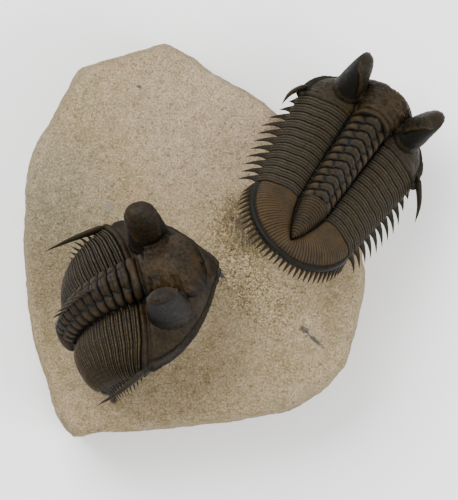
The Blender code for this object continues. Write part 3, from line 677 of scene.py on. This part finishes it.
def make_eye(animal, side, tree):
    """Tall eye: an upright wall of lenses outside, a smooth lobe inside and over the top."""
    size = animal.size["eye"]
    around, rows = 200, 118
    angle = np.arange(around) / around * 2 * math.pi
    angle = (angle + math.pi) % (2 * math.pi) - math.pi
    angle = np.sort(angle)[None, :]
    level = np.linspace(0.02, 1.0, rows)[:, None]
    level = mix(level, 1 - (1 - level) ** 1.6, 0.45)
    long = np.interp(level, EYE_LEVELS, EYE_LONG)
    wide = np.interp(level, EYE_LEVELS, EYE_WIDE)
    round_top = np.sqrt(np.maximum(1 - clamp((level - 0.72) / 0.28) ** 2.6, 0.0))
    close = np.where(level > 0.86, round_top / np.sqrt(1 - 0.5 ** 2.6), 1.0)
    long = np.where(level > 0.86, 0.70 * close, long) * 0.999 + 0.001
    wide = np.where(level > 0.86, 0.82 * close, wide) * 0.999 + 0.001
    flare = 1 + 0.10 * np.exp(-level / 0.06)
    x, s = eye_point(animal, side, level, angle, long * flare, wide * flare)
    n = mix(1.0, size["height"], level) + 0 * angle
    base = animal.place(x, s, n)
    up = dorsal_of(animal, animal.head * 0.5)
    foot_x, foot_s = eye_point(animal, side, 0.0, angle[0], flare[0] * 1.04, flare[0] * 1.04)
    high = animal.place(foot_x, foot_s, 30.0)
    foot = []
    for p in high:
        hit = tree.ray_cast(Vector(p * MM), Vector(-up))[0]
        foot.append(np.array(hit) / MM - up * 0.5 if hit else p - up * 30)
    foot = np.array(foot)
    settle = smooth(level / 0.16)[..., None]
    base = mix(foot[None] + up * (level * size["height"] * 0.8)[..., None], base, settle)
    out = unit(np.cross(np.roll(base, -1, 1) - np.roll(base, 1, 1), np.gradient(base, axis=0)))
    centre = base.mean(axis=1, keepdims=True)
    if np.sum(out[rows // 2] * (base - centre)[rows // 2]) < 0:
        out = -out
    turn = np.abs(angle)
    limit = np.interp(level, LENS_LEVELS, LENS_TURNS)
    wall = smooth((limit - turn) / 0.10 + 0.5) * smooth((level - 0.09) / 0.02)
    pitch = 0.52
    across = angle * size["length"] * 0.52 / pitch
    upward = level * size["height"] / (pitch * 0.9)
    lenses = np.cos(math.pi * (across + upward)) * np.cos(math.pi * (across - upward))
    edge = hump(limit - turn, -0.16, 0.14) * smooth((level - 0.2) / 0.1)
    groove = hump(limit - turn, 0.05, 0.05) * smooth((level - 0.1) / 0.1)
    lift = 0.055 * wall * lenses
    lift = lift + 0.14 * (1 - wall) * smooth((level - 0.1) / 0.1) + 0.22 * edge - 0.12 * groove
    lift = lift - 0.14 * hump(level, 0.10, 0.02)
    wrinkle = 1 - np.abs(grain(base, 0.9, 83, 2)) * 2.4
    lift = lift + 0.10 * grain(base, 3.0, 81) + 0.05 * wrinkle * (1 - wall)
    fade = smooth((1 - level) / 0.05)
    rings = base + out * (lift * fade)[..., None]
    rings = np.concatenate([(foot - up * 0.2)[None], rings])
    # Painted shade: in these masks the ridge value is lowered in the groove round the lenses
    masks = dict(
        ridge=clamp(0.29 + 0.12 * wrinkle * (1 - wall) + 0.2 * edge - 0.3 * groove),
        warm=(0.22 + 0.15 * edge + 0.3 * smooth((level - 0.8) / 0.2)) * (1 - wall),
        slate=wall, lens=wall * (0.5 + 0.5 * lenses),
    )
    full = {k: np.concatenate([v[:1], v]) for k, v in masks.items()}
    return skin("eye", rings, full)


def make_genal_spine(animal, side):
    """Flattened spine running straight back from the corner of the head shield."""
    size, hand = animal.size, 0 if side < 0 else 1
    w, d = size["margin"][0], size["drop"][0]
    long = size["genal"][hand] + GENAL_ROOT
    origin = animal.place(0.0, animal.head, 0.0)
    back = origin - animal.place(0.0, animal.head - 1, 0.0)
    up = animal.place(0.0, animal.head, 1.0) - origin
    out = animal.turn @ np.array((side, 0.0, 0.0))
    corner = animal.place(side * w * 0.985, animal.head + size["sweep"][1] - GENAL_ROOT, -d * 0.82)
    t = np.linspace(0, 1, 34)[:, None]
    angle = np.arange(16)[None, :] / 16 * 2 * math.pi
    bow = size["genal_out"][hand] * t ** 1.3 + size["genal_bow"][hand] * np.sin(math.pi * t)
    rise = size["genal_lift"] * np.sin(math.pi * 0.5 * t) - 0.8 * t * t
    point = np.maximum(1 - t ** 4, 0.0) ** 0.9 * (0.25 + 0.75 * smooth(t / 0.16))
    tall = mix(1.60, 0.42, t ** 0.8) * point
    thick = mix(0.78, 0.32, t) * point
    ridged = 1 + 0.12 * np.cos(2 * angle)
    sideways = bow + thick * ridged * np.cos(angle)
    upwards = rise + tall * np.sin(angle)
    rings = corner + back * (long * t)[..., None]
    rings = rings + out * sideways[..., None] + up * upwards[..., None]
    rings = rings + 0.04 * grain(rings, 0.8, 91)[..., None]
    rings[-1] = rings[-1].mean(axis=0)
    # Painted light: the ridge mask is higher on the spine's upper side and lower on its underside
    return skin("genal", rings, dict(ridge=0.30 + 0.2 * np.sin(angle) + 0 * t, warm=0.15))


def make_head(animal):
    rows, half_cols = 170, 95
    half = np.linspace(0, 1, half_cols)
    q = np.concatenate([-half[:0:-1], half])[None, :]
    seam = 0.03 / animal.head
    v = mix(seam, 1.0, np.linspace(0, 1, rows))[:, None]
    base = animal.head_base(q, v)
    out = outward(base, dorsal_of(animal, animal.head * 0.6))
    out[-4:] = out[-5]
    # Close to the midline the front's points crowd, so its normals come from those beside it
    far = np.abs(q)
    crowded = (v > 0.56) & (far < 0.035)
    beside = (v > 0.56) & (far > 0.03) & (far < 0.07)
    out[crowded] = unit(out[beside].mean(axis=0))
    lift, masks = head_relief(animal, q, v, base)
    top = base + out * (lift * smooth((1 - v) / 0.03 + 0.1))[..., None]
    pick = np.linspace(q.shape[1] - 1, 0, 41).astype(int)
    low = base[:, pick] - out[:, pick] * SHELL * 1.1
    meet_at_tip(top, low)
    full = wrap_masks(masks, top.shape[:2], pick)
    piece = skin(f"{animal.name}_head_shield", np.concatenate([top, low], axis=1), full)
    form = bmesh.new()
    form.from_mesh(piece.data)
    tree = BVHTree.FromBMesh(form)
    form.free()
    parts = [make_eye(animal, side, tree) for side in (-1, 1)]
    parts += [make_genal_spine(animal, side) for side in (-1, 1)]
    for part in parts:
        fuse(piece, part)
    return piece


# The limestone block

def points_of(mesh):
    """Places of a mesh's points, mm, and their normals."""
    count = len(mesh.vertices)
    co, normal = np.empty(count * 3), np.empty(count * 3)
    mesh.vertices.foreach_get("co", co)
    mesh.vertices.foreach_get("normal", normal)
    return co.reshape(-1, 3) / MM, normal.reshape(-1, 3)


def remesh(piece, size):
    change = piece.modifiers.new("Fine", "REMESH")
    change.mode = "VOXEL"
    change.voxel_size = size * MM
    bpy.ops.object.modifier_apply(modifier=change.name)


def thicken_fill(piece):
    """Grow the rock that fills the bodies by a little, so that its thin edges stay whole."""
    mesh = piece.data
    co, normal = points_of(mesh)
    high = np.flatnonzero(co[:, 2] > FILL_FOOT)
    near = distance_to_plates(co[high])
    grow = FILL_GROWTH * smooth((PLATE_REACH - near) / 1.5)
    grow = grow * smooth((co[high, 2] - FILL_FOOT) / 3.0)
    co[high] = co[high] + normal[high] * grow[:, None]
    mesh.vertices.foreach_set("co", (co * MM).ravel())
    mesh.update()


def make_block():
    """Copy of the block's solid, remeshed finely, smoothed and roughened where rock shows."""
    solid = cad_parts["matrix"]
    mesh = solid.data.copy()
    mesh.name = "limestone_block"
    mesh.materials.clear()
    piece = bpy.data.objects.new("limestone_block", mesh)
    bpy.context.scene.collection.objects.link(piece)
    bpy.ops.object.select_all(action="DESELECT")
    piece.select_set(True)
    bpy.context.view_layer.objects.active = piece
    bpy.ops.object.mode_set(mode="EDIT")
    bpy.ops.mesh.select_all(action="SELECT")
    bpy.ops.mesh.remove_doubles(threshold=0.002 * MM)
    bpy.ops.object.mode_set(mode="OBJECT")
    # The rock thins to an edge under the bodies, which a coarse grid alone would leave ragged
    remesh(piece, FINE_GRID)
    thicken_fill(piece)
    remesh(piece, COARSE_GRID)
    soften = piece.modifiers.new("Soften", "SMOOTH")
    soften.factor = 0.5
    soften.iterations = 12
    bpy.ops.object.modifier_apply(modifier=soften.name)
    mesh = piece.data
    co, normal = points_of(mesh)
    near = distance_to_plates(co)
    free = smooth((near - 0.9) / 2.0)
    upright = smooth((np.abs(normal[:, 2]) - 0.45) / 0.35)
    foot = smooth(co[:, 2] / 2.5)
    broad = 0.45 * grain(co, 9.0, 3) + 0.22 * grain(co, 3.0, 4)
    fine = 0.10 * grain(co, 1.1, 5)
    tooled = 0.16 * broad + 0.9 * fine
    broken = broad + 0.8 * fine
    lift = mix(broken, tooled, upright) * free * foot
    co = co + normal * lift[:, None]
    under = co[:, 2] < 0.6
    co[under, 2] = np.maximum(co[under, 2], 0.0)
    flat = (co[:, 2] < 0.45) & (normal[:, 2] < -0.6)
    co[flat, 2] = 0.0
    mesh.vertices.foreach_set("co", (co * MM).ravel())
    # Nearness to the plates, which the material turns into painted shade on the rock
    layer = mesh.attributes.new("shelter", "FLOAT", "POINT")
    layer.data.foreach_set("value", 1 - smooth((near - 0.5) / 1.0))
    mesh.update()
    bpy.ops.object.shade_smooth()
    return piece


def distance_to_plates(points):
    """Distance in mm from each point to the nearest plate of either animal."""
    form = bmesh.new()
    for name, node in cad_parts.items():
        if name != "matrix":
            form.from_mesh(node.data)
    tree = BVHTree.FromBMesh(form)
    form.free()
    far = []
    for p in points:
        hit = tree.find_nearest(Vector(p * MM), PLATE_REACH * MM)
        far.append(hit[3] / MM if hit[3] is not None else PLATE_REACH)
    return np.array(far)


# Materials

class Nodes:
    """Short ways to add and wire the nodes of one material."""

    def __init__(self, name):
        self.material = bpy.data.materials.new(name)
        self.material.use_nodes = True
        self.tree = self.material.node_tree
        self.shader = self.tree.nodes["Principled BSDF"]
        coordinates = self.tree.nodes.new("ShaderNodeTexCoord")
        scale = self.tree.nodes.new("ShaderNodeMapping")
        scale.inputs["Scale"].default_value = (1 / MM, 1 / MM, 1 / MM)
        self.tree.links.new(coordinates.outputs["Object"], scale.inputs["Vector"])
        self.millimetres = scale.outputs["Vector"]

    def put(self, socket, value):
        if hasattr(value, "links") or hasattr(value, "is_output"):
            self.tree.links.new(value, socket)
        else:
            socket.default_value = value

    def noise(self, size, detail=3.0, rough=0.55, stretch=None, warp=0.0):
        node = self.tree.nodes.new("ShaderNodeTexNoise")
        node.inputs["Scale"].default_value = 1 / size
        node.inputs["Detail"].default_value = detail
        node.inputs["Roughness"].default_value = rough
        node.inputs["Distortion"].default_value = warp
        vector = self.millimetres
        if stretch:
            bend = self.tree.nodes.new("ShaderNodeMapping")
            bend.inputs["Scale"].default_value = stretch
            self.tree.links.new(vector, bend.inputs["Vector"])
            vector = bend.outputs["Vector"]
        self.tree.links.new(vector, node.inputs["Vector"])
        return node.outputs["Fac"]

    def band(self, value, low, high, out_low=0.0, out_high=1.0):
        node = self.tree.nodes.new("ShaderNodeMapRange")
        node.interpolation_type = "SMOOTHSTEP"
        self.put(node.inputs["Value"], value)
        node.inputs["From Min"].default_value = low
        node.inputs["From Max"].default_value = high
        node.inputs["To Min"].default_value = out_low
        node.inputs["To Max"].default_value = out_high
        return node.outputs["Result"]

    def math(self, operation, a, b=0.0):
        node = self.tree.nodes.new("ShaderNodeMath")
        node.operation = operation
        self.put(node.inputs[0], a)
        self.put(node.inputs[1], b)
        return node.outputs["Value"]

    def mask(self, name):
        node = self.tree.nodes.new("ShaderNodeAttribute")
        node.attribute_name = name
        return node.outputs["Fac"]

    def colour(self, factor, first, second):
        node = self.tree.nodes.new("ShaderNodeMix")
        node.data_type = "RGBA"
        self.put(node.inputs["Factor"], factor)
        for index, value in ((6, first), (7, second)):
            if isinstance(value, tuple):
                value = (*value, 1.0)
            self.put(node.inputs[index], value)
        return node.outputs[2]

    def tint(self, base, where, share, colour):
        """The base with a colour mixed in where a mask is, at a share of its strength."""
        return self.colour(self.math("MULTIPLY", where, share), base, colour)

    def near(self, centre, radius, soft):
        """1 within radius of a place on the face, 0 past the soft edge."""
        node = self.tree.nodes.new("ShaderNodeVectorMath")
        node.operation = "DISTANCE"
        self.tree.links.new(self.millimetres, node.inputs[0])
        node.inputs[1].default_value = centre
        return self.band(node.outputs["Value"], radius, radius + soft, 1.0, 0.0)

    def oval(self, centre, turn, long, wide):
        """1 inside a ragged ellipse on the face, 0 outside it."""
        node = self.tree.nodes.new("ShaderNodeMapping")
        node.vector_type = "TEXTURE"
        node.inputs["Location"].default_value = centre
        node.inputs["Rotation"].default_value = (0.0, 0.0, math.radians(turn))
        node.inputs["Scale"].default_value = (long, wide, 4.0)
        self.tree.links.new(self.millimetres, node.inputs["Vector"])
        far = self.tree.nodes.new("ShaderNodeVectorMath")
        far.operation = "LENGTH"
        self.tree.links.new(node.outputs["Vector"], far.inputs[0])
        rough = self.band(self.noise(0.8), 0.3, 0.7, -0.35, 0.35)
        ragged = self.math("ADD", far.outputs["Value"], rough)
        return self.band(ragged, 0.6, 1.3, 1.0, 0.0)

    def bump(self, height, distance, strength, below=None):
        node = self.tree.nodes.new("ShaderNodeBump")
        node.inputs["Distance"].default_value = distance * MM
        node.inputs["Strength"].default_value = strength
        self.put(node.inputs["Height"], height)
        if below is not None:
            self.tree.links.new(below, node.inputs["Normal"])
        return node.outputs["Normal"]


def rgb(red, green, blue):
    """Linear colour from ordinary 0 to 255 values."""
    parts = []
    for c in (red, green, blue):
        c = c / 255
        parts.append(c / 12.92 if c <= 0.04045 else ((c + 0.055) / 1.055) ** 2.4)
    return tuple(parts)


def limestone():
    n = Nodes("limestone")
    broad = n.noise(16.0, 4.0, 0.6)
    stone = n.colour(n.band(broad, 0.38, 0.62), rgb(135, 120, 92), rgb(145, 130, 103))
    olive = n.band(n.noise(2.6, 4.0, 0.65, warp=0.6), 0.50, 0.62, 0.0, 0.55)
    stone = n.colour(olive, stone, rgb(121, 107, 72))
    pink = n.band(n.noise(3.4, 4.0, 0.6), 0.50, 0.64, 0.0, 0.50)
    stone = n.colour(pink, stone, rgb(152, 128, 104))
    mound = n.near(MOUND, 4.0, 9.0)
    worked = mound
    for centre, share in WORKED:
        worked = n.math("MAXIMUM", worked, n.math("MULTIPLY", n.near(centre, 2.5, 7.0), share))
    # Darker rock where it was worked; round the upper animal's pedestal this is partly tooled rock
    # and partly painted shadow under its tail
    tint = n.math("MAXIMUM", n.math("MULTIPLY", mound, 0.70), n.math("MULTIPLY", worked, 0.25))
    stone = n.colour(tint, stone, rgb(110, 94, 60))
    stone = n.tint(stone, n.near(PALE_TOP, 9.0, 15.0), 0.35, rgb(164, 144, 124))
    stone = n.tint(stone, n.near(GREY_EDGE, 5.0, 18.0), 0.60, rgb(124, 119, 98))
    # Soft mottles, then fine grain, then the dark pits where the rock was worked hardest
    mottle = n.noise(2.0, 4.0, 0.7)
    stone = n.colour(n.band(mottle, 0.50, 0.66, 0.0, 0.38), stone, rgb(104, 92, 66))
    stone = n.colour(n.band(mottle, 0.46, 0.32, 0.0, 0.40), stone, rgb(178, 161, 138))
    grains = n.noise(0.45, 3.0, 0.80)
    speck = n.math("ADD", n.math("MULTIPLY", worked, 0.42), 0.44)
    stone = n.tint(stone, n.band(grains, 0.51, 0.60), speck, rgb(84, 71, 48))
    stone = n.tint(stone, n.band(grains, 0.48, 0.38), speck, rgb(186, 171, 138))
    dots = n.band(n.noise(0.9, 2.0, 0.6), 0.61, 0.68, 0.0, 0.48)
    stone = n.colour(dots, stone, rgb(84, 74, 54))
    pits = n.noise(0.8, 5.0, 0.9, warp=0.5)
    deep = n.math("ADD", n.math("MULTIPLY", worked, 0.83), 0.17)
    stone = n.tint(stone, n.band(pits, 0.53, 0.61), deep, rgb(48, 38, 22))
    stone = n.tint(stone, n.band(pits, 0.43, 0.35), deep, rgb(196, 178, 134))
    # A ground face with scratches under the upper tail; its darker tone is partly the ground face's
    # own and partly painted shadow under the tail
    ground = n.near(GROUND_FACE, 4.0, 6.0)
    stone = n.tint(stone, ground, 0.50, rgb(80, 68, 48))
    scratch = n.noise(0.9, 3.0, 0.7, stretch=(1.0, 0.14, 1.0), warp=0.15)
    lines = n.math("MULTIPLY", n.band(scratch, 0.46, 0.60), n.math("MULTIPLY", ground, 0.75))
    stone = n.colour(lines, stone, rgb(58, 53, 45))
    # A blue-grey stain, a short dark crack and small dark marks
    stone = n.tint(stone, n.near(BLUE_STAIN, 0.3, 1.8), 0.55, rgb(96, 102, 118))
    for centre, turn, long, wide, strength in MARKS:
        stone = n.tint(stone, n.oval(centre, turn, long, wide), strength, rgb(58, 57, 60))
    # Painted shade: rock close to a plate is darker, where the plates shade it
    stone = n.tint(stone, n.band(n.mask("shelter"), 0.2, 0.9), 0.75, rgb(46, 38, 28))
    n.put(n.shader.inputs["Base Color"], stone)
    n.shader.inputs["Roughness"].default_value = 0.95
    n.shader.inputs["Specular IOR Level"].default_value = 0.10
    fine = n.bump(grains, 0.30, 1.0)
    coarse = n.bump(pits, 0.35, 0.9, fine)
    n.put(n.shader.inputs["Normal"], n.bump(mottle, 0.35, 0.6, coarse))
    return n.material


def fossil_shell(name):
    n = Nodes(name)
    dark, mid, light, gold, blue, olive = (rgb(*colour) for colour in SHELL_COLOURS[name])
    ridge, warm = n.mask("ridge"), n.mask("warm")
    slate, lens = n.mask("slate"), n.mask("lens")
    patch = n.noise(5.5, 4.0, 0.6, warp=0.4)
    streak = n.noise(1.6, 5.0, 0.72, warp=1.0)
    fine = n.noise(0.6, 5.0, 0.72)
    # Painted shade: where the ridge mask is low, in furrows, grooves and joints, the body takes the
    # dark colour
    body = n.colour(n.band(ridge, 0.08, 0.75), dark, mid)
    body = n.colour(n.band(streak, 0.52, 0.66, 0.0, 0.45), body, olive)
    body = n.tint(body, n.band(patch, 0.44, 0.72), 0.30, blue)
    golden = n.math("MULTIPLY", warm, n.band(patch, 0.36, 0.62, 0.95, 0.35))
    golden = n.math("MULTIPLY", golden, n.band(ridge, 0.10, 0.7, 0.10, 1.0))
    body = n.colour(golden, body, gold)
    body = n.colour(n.band(streak, 0.48, 0.34, 0.0, 0.50), body, dark)
    body = n.tint(body, slate, 0.75, n.colour(n.band(ridge, 0.1, 0.9), dark, blue))
    # Painted highlight: thin light lines along the highest crests
    edge = n.math("MULTIPLY", n.band(ridge, 0.68, 0.94), n.band(fine, 0.40, 0.58))
    body = n.tint(body, edge, 0.85, light)
    body = n.tint(body, n.band(fine, 0.50, 0.72), 0.40, dark)
    body = n.colour(n.band(lens, 0.55, 0.95, 0.0, 0.50), body, rgb(38, 38, 39))
    n.put(n.shader.inputs["Base Color"], body)
    n.put(n.shader.inputs["Roughness"], n.band(fine, 0.3, 0.7, 0.42, 0.62))
    n.shader.inputs["Specular IOR Level"].default_value = 0.11
    small = n.bump(n.noise(0.20, 3.0, 0.6), 0.03, 0.9)
    n.put(n.shader.inputs["Normal"], n.bump(n.noise(0.8, 4.0, 0.7), 0.12, 0.8, small))
    return n.material


# Putting the object together

def dress(piece, material, slot, *nodes):
    piece.data.materials.clear()
    piece.data.materials.append(material)
    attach(piece, "root")
    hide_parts(*nodes)


def make_object():
    dress(make_block(), limestone(), "limestone", "matrix")
    for animal in (UPPER, LOWER):
        slot = animal.name.split("_")[0] + "_shell"
        shell = fossil_shell(slot)
        dress(make_head(animal), shell, slot, f"{animal.name}_cephalon")
        for number in range(1, SEGMENTS + 1):
            node = f"{animal.name}_thorax_segment_{number:02d}"
            dress(make_plate(animal, number), shell, slot, node)
        dress(make_tail(animal), shell, slot, f"{animal.name}_pygidium")


# Floor, light and camera

def make_stage():
    bpy.ops.object.select_all(action="DESELECT")
    bpy.ops.mesh.primitive_plane_add(size=FLOOR_SIDE, location=(0, 0, 0))
    floor = bpy.context.object
    floor.name = "floor"
    material = bpy.data.materials.new("paper")
    material.use_nodes = True
    shader = material.node_tree.nodes["Principled BSDF"]
    shader.inputs["Base Color"].default_value = (FLOOR_WHITE, FLOOR_WHITE, FLOOR_WHITE, 1)
    shader.inputs["Roughness"].default_value = 0.9
    floor.data.materials.append(material)


def soft_light(name, place, size, power):
    lamp = bpy.data.lights.new(name, "AREA")
    lamp.size = size
    lamp.energy = power
    holder = bpy.data.objects.new(name, lamp)
    holder.location = place
    holder.rotation_euler = (-Vector(place)).to_track_quat("-Z", "Y").to_euler()
    bpy.context.scene.collection.objects.link(holder)


def make_lights():
    world = bpy.data.worlds.new("studio")
    bpy.context.scene.world = world
    world.use_nodes = True
    sky = world.node_tree.nodes["Background"]
    sky.inputs["Color"].default_value = (1.0, 1.0, 1.0, 1)
    sky.inputs["Strength"].default_value = SKY_STRENGTH
    for lamp in LAMPS:
        soft_light(*lamp)


def make_camera():
    camera = bpy.data.objects.new("camera", bpy.data.cameras.new("camera"))
    bpy.context.scene.collection.objects.link(camera)
    bpy.context.scene.camera = camera
    camera.data.sensor_width = SENSOR
    camera.data.lens = LENS
    away = LENS / SENSOR * PHOTO_TALL / PIXELS_PER_MM
    camera.location = (
        VIEW_CENTRE[0] * MM, VIEW_CENTRE[1] * MM, (SHARP_HEIGHT + away) * MM,
    )
    camera.data.clip_start = 0.05
    camera.data.clip_end = 10.0


make_object()
make_stage()
make_lights()
make_camera()
